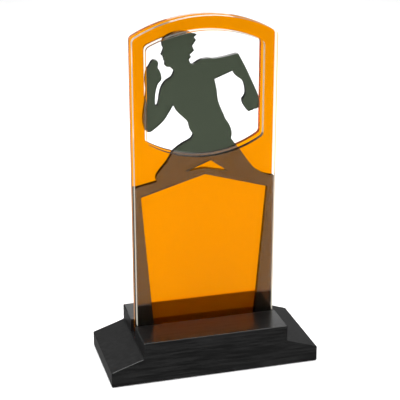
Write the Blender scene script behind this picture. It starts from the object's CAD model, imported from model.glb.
# Looks for the runner trophy: acrylic sheets, stained wood, a pale studio and its camera.
# Lengths are metres unless a name says otherwise.
import math

import bpy
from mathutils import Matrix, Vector

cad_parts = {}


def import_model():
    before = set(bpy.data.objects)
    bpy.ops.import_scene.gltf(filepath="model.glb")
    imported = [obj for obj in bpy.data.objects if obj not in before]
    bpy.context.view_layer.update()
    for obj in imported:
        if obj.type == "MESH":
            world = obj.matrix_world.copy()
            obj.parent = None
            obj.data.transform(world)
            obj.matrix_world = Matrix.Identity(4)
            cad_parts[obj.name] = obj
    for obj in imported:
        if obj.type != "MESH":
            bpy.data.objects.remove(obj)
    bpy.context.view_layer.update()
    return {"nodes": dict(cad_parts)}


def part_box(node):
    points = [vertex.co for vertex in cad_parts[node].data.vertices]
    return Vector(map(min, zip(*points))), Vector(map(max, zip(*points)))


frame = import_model()
nodes = frame["nodes"]

MM = 0.001

# Camera, from how the trophy stands in the view.
VIEW_AZIMUTH = math.radians(-15.73)
VIEW_ELEVATION = math.radians(19.87)
VIEW_DISTANCE = 0.6143
VIEW_TARGET = Vector((-2.47, -1, 92.27)) * MM
LENS_MM = 103.2
SENSOR_MM = 36
CLIP_START = 0.01
CLIP_END = 100

# Studio. Lights are aimed softboxes, with their power in watts.
FLOOR_HALF = 20
FLOOR_SHADE = 0.88
FLOOR_ROUGHNESS = 0.9
FLOOR_SPECULAR = 0.1
WORLD_SHADE = 0.2
TOP_LIGHT = dict(place=(0, 0.08, 1.3), target=(0, 0.08, 0), size=1.5, power=34.5)
FRONT_LIGHT = dict(place=(-0.3, -1.0, 0.9), target=(0, -0.1, 0), size=0.8, power=12)
BACK_LIGHT = dict(place=(0.332, 1.155, 0.46), target=(0, 0, 0.02), size=0.4, power=0.9)

# Light bounces, enough for a stack of three transparent sheets.
BOUNCES = 32
GLOSSY_BOUNCES = 16

# Smoothing of the CAD meshes: corners closer than this are one, and sharper edges stay crisp.
MERGE = 0.001 * MM
SHEET_SHARP = math.radians(35)
WOOD_SHARP = math.radians(55)

# Acrylic.
ACRYLIC_IOR = 1.49
SHEET_GLOSS = 0.02
WALL_LIMIT = 0.5
WHITE = (1, 1, 1)
BLACK = (0, 0, 0)

# Tints of the runner's faces: inside the outer sheets' window, beside it, and at the foot.
SMOKE_INSIDE = (0.185, 0.226, 0.155)
SMOKE_BESIDE = (0.92, 0.97, 1)
SMOKE_FOOT = (0.22, 0.23, 0.23)

# Tints of the orange sheet's faces: above the foot, and at the foot.
ORANGE_ABOVE = (1, 0.46, 0)
ORANGE_FOOT = (1, 0.32, 0)

# Places on the base and the outer sheets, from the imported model.
BLOCK_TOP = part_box("base")[1].z
PANEL_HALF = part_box("front_sheet")[1].x
PANEL_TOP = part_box("front_sheet")[1].z

# The outer sheets' window: half its width, and the circles of its head and its sill, each as
# (height of the centre, radius). The runner's dark tint stops a little short of the two arcs.
ARCH_RADIUS = 77.5 * MM
TOP_BAND = 7.5 * MM
SIDE_BAND = 7.1 * MM
WINDOW_DEPTH = 74.5 * MM
SILL_RADIUS = 58 * MM
TINT_INSET = 1.2 * MM
WINDOW_HALF = PANEL_HALF - SIDE_BAND
WINDOW_HEAD = (PANEL_TOP - ARCH_RADIUS, ARCH_RADIUS - TOP_BAND - TINT_INSET)
WINDOW_SILL = (PANEL_TOP - WINDOW_DEPTH + SILL_RADIUS, SILL_RADIUS - TINT_INSET)

# Heights between which the tint at a sheet's foot gives way to the tint above it.
FOOT_RISE = (BLOCK_TOP + 10.2 * MM, BLOCK_TOP + 11.2 * MM)

# The sheets' outer walls gather light, above the block, and the arch gathers less than the sides.
WALL_MARGIN = 2 * MM
SIDE_WALL = PANEL_HALF - 0.7 * MM
ARCH_SHARE = 0.4

# Finishes of the sheets. "through" and "density" are the colour and density of the absorbing
# volume, "edge" is the colour of the cut walls, "glow" the light that the outer ones give off, and
# "clarity" the share of light that passes a face.
CLEAR_ACRYLIC = dict(
    through=(0.5, 0.3, 0.0),
    density=100,
    edge=(0.6, 0.5, 0.4),
    glow=(0.55, 0.53, 0.46),
    clarity=1,
)
SMOKED_ACRYLIC = dict(
    through=(0.46, 0.46, 0.46),
    density=1000,
    edge=(0.06, 0.06, 0.05),
    glow=BLACK,
    clarity=0.91,
)
ORANGE_ACRYLIC = dict(
    through=(0.95, 0.86, 0.0),
    density=1000,
    edge=(0.8, 0.25, 0),
    glow=(0.28, 0.16, 0.08),
    clarity=0.86,
)

# Finishes of wood, glue and felt. "fineness" is about how many grains fit in a metre along X, Y
# and Z. "shades" are the two greys, met at the two "stops" of the grain's strength.
BLACK_WOOD = dict(
    fineness=(60, 1100, 1100),
    detail=6,
    roughness_of_grain=0.6,
    shades=(0.002, 0.013),
    stops=(0.4, 0.68),
    relief=0.12 * MM,
    relief_strength=0.5,
    roughness=0.3,
    specular=0.45,
)
ADHESIVE = dict(
    fineness=(600, 600, 600),
    detail=4,
    roughness_of_grain=0.5,
    shades=(0.01, 0.03),
    stops=(0, 1),
    relief=0.1 * MM,
    relief_strength=1,
    roughness=0.35,
    specular=0.5,
)
FELT = dict(
    fineness=(2500, 2500, 2500),
    detail=4,
    roughness_of_grain=0.5,
    shades=(0.008, 0.03),
    stops=(0, 1),
    relief=0.1 * MM,
    relief_strength=1,
    roughness=0.95,
    specular=0.5,
)


# ---- small helpers for materials and node trees ----

def new_material(name):
    material = bpy.data.materials.new(name)
    material.use_nodes = True
    tree = material.node_tree
    shader = tree.nodes["Principled BSDF"]
    return material, tree, shader


def add_node(tree, kind, **settings):
    node = tree.nodes.new(kind)
    for name, value in settings.items():
        setattr(node, name, value)
    return node


def feed(tree, socket, value):
    """Give a socket a number, a vector or a colour, or link it to another node's output."""
    if isinstance(value, bpy.types.NodeSocket):
        tree.links.new(value, socket)
    else:
        socket.default_value = value


def worked_out(tree, operation, *values):
    """The result of a Math node, from numbers or other nodes' outputs."""
    node = add_node(tree, "ShaderNodeMath", operation=operation)
    for socket, value in zip(node.inputs, values):
        feed(tree, socket, value)
    return node.outputs[0]


def product(tree, first, *others):
    for other in others:
        first = worked_out(tree, "MULTIPLY", first, other)
    return first


def rising(tree, value, span, start, interpolation):
    """From start, below the span, to 1 above it."""
    rise = add_node(tree, "ShaderNodeMapRange", interpolation_type=interpolation)
    rise.inputs["From Min"].default_value = span[0]
    rise.inputs["From Max"].default_value = span[1]
    rise.inputs["To Min"].default_value = start
    tree.links.new(value, rise.inputs["Value"])
    return rise.outputs["Result"]


def blend_colors(tree, share, first, second):
    """first where share is 0 and second where it is 1; each is a colour or a node's output."""
    mix = add_node(tree, "ShaderNodeMix", data_type="RGBA")
    tree.links.new(share, mix.inputs["Factor"])
    for socket, value in ((mix.inputs[6], first), (mix.inputs[7], second)):
        feed(tree, socket, (*value, 1) if isinstance(value, tuple) else value)
    return mix.outputs[2]


def coordinate_parts(tree, kind):
    """X, Y and Z of a place on the piece ("Object") or of its normal ("Normal")."""
    place = add_node(tree, "ShaderNodeTexCoord")
    parts = add_node(tree, "ShaderNodeSeparateXYZ")
    tree.links.new(place.outputs[kind], parts.inputs["Vector"])
    return parts.outputs


# ---- where on a sheet a point lies ----

def cut_edges(tree):
    """1 on the walls that the laser cut, 0 on the sheet's two flat faces."""
    toward_faces = worked_out(tree, "ABSOLUTE", coordinate_parts(tree, "Normal")["Y"])
    return worked_out(tree, "LESS_THAN", toward_faces, WALL_LIMIT)


def inside_circle(tree, place, circle, margin):
    """1 where a point lies in a circle on the sheet, seen from the front, and 0 outside it."""
    centre, radius = circle
    flat = add_node(tree, "ShaderNodeCombineXYZ")
    tree.links.new(place["X"], flat.inputs["X"])
    tree.links.new(place["Z"], flat.inputs["Z"])
    reach = add_node(tree, "ShaderNodeVectorMath", operation="DISTANCE")
    reach.inputs[1].default_value = (0, 0, centre)
    tree.links.new(flat.outputs[0], reach.inputs[0])
    return worked_out(tree, "LESS_THAN", reach.outputs["Value"], radius + margin)


def inside_window(tree, place, margin):
    """1 inside the outer sheets' window, grown by a margin, and 0 beside it."""
    side = worked_out(tree, "ABSOLUTE", place["X"])
    inside = worked_out(tree, "LESS_THAN", side, WINDOW_HALF + margin)
    below_head = inside_circle(tree, place, WINDOW_HEAD, margin)
    above_sill = inside_circle(tree, place, WINDOW_SILL, margin)
    return product(tree, inside, below_head, above_sill)


def outer_walls(tree, walls):
    """How much light a wall gathers: 1 at the sides, less on the arch, 0 round the window."""
    place = coordinate_parts(tree, "Object")
    above = worked_out(tree, "GREATER_THAN", place["Z"], BLOCK_TOP)
    window = inside_window(tree, place, WALL_MARGIN)
    beside = worked_out(tree, "SUBTRACT", 1, window)
    reach = worked_out(tree, "ABSOLUTE", place["X"])
    share = rising(tree, reach, (WINDOW_HALF, SIDE_WALL), ARCH_SHARE, "LINEAR")
    return product(tree, walls, above, beside, share)


# ---- materials ----

def foot_tint(tree, place, foot, above):
    """The colour at the sheet's foot, and above it the sheet's own."""
    rise = rising(tree, place["Z"], FOOT_RISE, 0, "SMOOTHSTEP")
    return blend_colors(tree, rise, foot, above)


def clear_face(tree):
    return WHITE


def smoked_face(tree):
    """The runner's faces look darker inside the window than beside it, and dark at the foot."""
    place = coordinate_parts(tree, "Object")
    beside = foot_tint(tree, place, SMOKE_FOOT, SMOKE_BESIDE)
    return blend_colors(tree, inside_window(tree, place, 0), beside, SMOKE_INSIDE)


def orange_face(tree):
    place = coordinate_parts(tree, "Object")
    return foot_tint(tree, place, ORANGE_FOOT, ORANGE_ABOVE)


def acrylic(name, face, through, density, edge, glow, clarity):
    """Clear or tinted acrylic: what a white beam loses grows with its path through the sheet."""
    material, tree, shader = new_material(name)
    walls = cut_edges(tree)
    tree.links.new(blend_colors(tree, walls, face(tree), edge), shader.inputs["Base Color"])
    if glow != BLACK:
        lit = outer_walls(tree, walls)
        tree.links.new(blend_colors(tree, lit, BLACK, glow), shader.inputs["Emission Color"])
        shader.inputs["Emission Strength"].default_value = 1
    shader.inputs["Roughness"].default_value = 0
    shader.inputs["IOR"].default_value = ACRYLIC_IOR
    shader.inputs["Transmission Weight"].default_value = clarity
    shader.inputs["Specular Tint"].default_value = (SHEET_GLOSS, SHEET_GLOSS, SHEET_GLOSS, 1)
    volume = add_node(tree, "ShaderNodeVolumeAbsorption")
    volume.inputs["Color"].default_value = (*through, 1)
    volume.inputs["Density"].default_value = density
    output = tree.nodes["Material Output"]
    tree.links.new(volume.outputs["Volume"], output.inputs["Volume"])
    return material


def grained(
    name, fineness, detail, roughness_of_grain, shades, stops,
    relief, relief_strength, roughness, specular,
):
    """A grey whose shade and height follow one noise."""
    material, tree, shader = new_material(name)
    place = add_node(tree, "ShaderNodeTexCoord")
    stretch = add_node(tree, "ShaderNodeMapping")
    stretch.inputs["Scale"].default_value = fineness
    grain = add_node(tree, "ShaderNodeTexNoise")
    grain.inputs["Scale"].default_value = 1
    grain.inputs["Detail"].default_value = detail
    grain.inputs["Roughness"].default_value = roughness_of_grain
    shade = add_node(tree, "ShaderNodeValToRGB")
    for element, level, stop in zip(shade.color_ramp.elements, shades, stops):
        element.position = stop
        element.color = (level, level, level, 1)
    bump = add_node(tree, "ShaderNodeBump")
    bump.inputs["Distance"].default_value = relief
    bump.inputs["Strength"].default_value = relief_strength
    links = tree.links
    links.new(place.outputs["Object"], stretch.inputs["Vector"])
    links.new(stretch.outputs["Vector"], grain.inputs["Vector"])
    links.new(grain.outputs["Fac"], shade.inputs["Fac"])
    links.new(shade.outputs["Color"], shader.inputs["Base Color"])
    links.new(grain.outputs["Fac"], bump.inputs["Height"])
    links.new(bump.outputs["Normal"], shader.inputs["Normal"])
    shader.inputs["Roughness"].default_value = roughness
    shader.inputs["Specular IOR Level"].default_value = specular
    return material


# ---- surfaces of the CAD nodes: merged corners, smooth curves, crisp edges ----

def smoothing_group(name, sharp_angle):
    group = bpy.data.node_groups.new(name, "GeometryNodeTree")
    group.interface.new_socket("Geometry", in_out="INPUT", socket_type="NodeSocketGeometry")
    group.interface.new_socket("Geometry", in_out="OUTPUT", socket_type="NodeSocketGeometry")
    start = group.nodes.new("NodeGroupInput")
    end = group.nodes.new("NodeGroupOutput")
    merge = group.nodes.new("GeometryNodeMergeByDistance")
    merge.inputs["Distance"].default_value = MERGE
    plain = group.nodes.new("GeometryNodeRemoveAttribute")
    plain.inputs["Name"].default_value = "custom_normal"
    soft = add_node(group, "GeometryNodeSetShadeSmooth", domain="FACE")
    angle = group.nodes.new("GeometryNodeInputMeshEdgeAngle")
    over = add_node(group, "FunctionNodeCompare", data_type="FLOAT", operation="GREATER_THAN")
    over.inputs["B"].default_value = sharp_angle
    crisp = add_node(group, "GeometryNodeSetShadeSmooth", domain="EDGE")
    crisp.inputs["Shade Smooth"].default_value = False
    links = group.links
    links.new(start.outputs[0], merge.inputs["Geometry"])
    links.new(merge.outputs["Geometry"], plain.inputs["Geometry"])
    links.new(plain.outputs["Geometry"], soft.inputs["Geometry"])
    links.new(soft.outputs["Geometry"], crisp.inputs["Geometry"])
    links.new(angle.outputs["Unsigned Angle"], over.inputs["A"])
    links.new(over.outputs["Result"], crisp.inputs["Selection"])
    links.new(crisp.outputs["Geometry"], end.inputs[0])
    return group


def dress(node, material, group):
    piece = nodes[node]
    piece.data.materials.clear()
    piece.data.materials.append(material)
    modifier = piece.modifiers.new("smooth_curves", "NODES")
    modifier.node_group = group
    weighted = piece.modifiers.new("even_normals", "WEIGHTED_NORMAL")
    weighted.keep_sharp = True


sheet_edges = smoothing_group("sheet_edges", SHEET_SHARP)
wood_edges = smoothing_group("wood_edges", WOOD_SHARP)

dress("base", grained("black_wood_looks", **BLACK_WOOD), wood_edges)
dress("glue_bed", grained("adhesive_looks", **ADHESIVE), wood_edges)
dress("front_sheet", acrylic("clear_acrylic_looks", clear_face, **CLEAR_ACRYLIC), sheet_edges)
dress("runner_sheet", acrylic("smoked_acrylic_looks", smoked_face, **SMOKED_ACRYLIC), sheet_edges)
dress("rear_sheet", acrylic("orange_acrylic_looks", orange_face, **ORANGE_ACRYLIC), sheet_edges)
felt = grained("felt_looks", **FELT)
for row in ("front", "rear"):
    for side in ("left", "right"):
        dress(f"foot_{row}_{side}", felt, wood_edges)


# ---- studio ----

def floor():
    mesh = bpy.data.meshes.new("floor")
    h = FLOOR_HALF
    mesh.from_pydata([(-h, -h, 0), (h, -h, 0), (h, h, 0), (-h, h, 0)], [], [(0, 1, 2, 3)])
    plane = bpy.data.objects.new("floor", mesh)
    bpy.context.scene.collection.objects.link(plane)
    material, tree, shader = new_material("pale_floor")
    shader.inputs["Base Color"].default_value = (FLOOR_SHADE, FLOOR_SHADE, FLOOR_SHADE, 1)
    shader.inputs["Roughness"].default_value = FLOOR_ROUGHNESS
    shader.inputs["Specular IOR Level"].default_value = FLOOR_SPECULAR
    mesh.materials.append(material)
    plane.visible_glossy = False


def world():
    surroundings = bpy.data.worlds.new("studio")
    surroundings.use_nodes = True
    background = surroundings.node_tree.nodes["Background"]
    background.inputs["Color"].default_value = (WORLD_SHADE, WORLD_SHADE, WORLD_SHADE, 1)
    bpy.context.scene.world = surroundings


def softbox(name, place, target, size, power):
    light = bpy.data.lights.new(name, "AREA")
    light.shape = "SQUARE"
    light.size = size
    light.energy = power
    lamp = bpy.data.objects.new(name, light)
    lamp.location = place
    lamp.rotation_mode = "QUATERNION"
    lamp.rotation_quaternion = (Vector(target) - Vector(place)).to_track_quat("-Z", "Y")
    bpy.context.scene.collection.objects.link(lamp)


def camera():
    data = bpy.data.cameras.new("view")
    data.sensor_width = SENSOR_MM
    data.lens = LENS_MM
    data.clip_start = CLIP_START
    data.clip_end = CLIP_END
    holder = bpy.data.objects.new("view", data)
    back = Vector((
        math.sin(VIEW_AZIMUTH) * math.cos(VIEW_ELEVATION),
        -math.cos(VIEW_AZIMUTH) * math.cos(VIEW_ELEVATION),
        math.sin(VIEW_ELEVATION),
    ))
    holder.location = VIEW_TARGET + back * VIEW_DISTANCE
    holder.rotation_mode = "QUATERNION"
    holder.rotation_quaternion = (-back).to_track_quat("-Z", "Y")
    bpy.context.scene.collection.objects.link(holder)
    bpy.context.scene.camera = holder


floor()
world()
softbox("top_light", **TOP_LIGHT)
softbox("front_light", **FRONT_LIGHT)
softbox("back_light", **BACK_LIGHT)
camera()

scene = bpy.context.scene
scene.view_settings.view_transform = "Standard"
scene.view_settings.look = "None"
scene.cycles.max_bounces = BOUNCES
scene.cycles.transmission_bounces = BOUNCES
scene.cycles.glossy_bounces = GLOSSY_BOUNCES
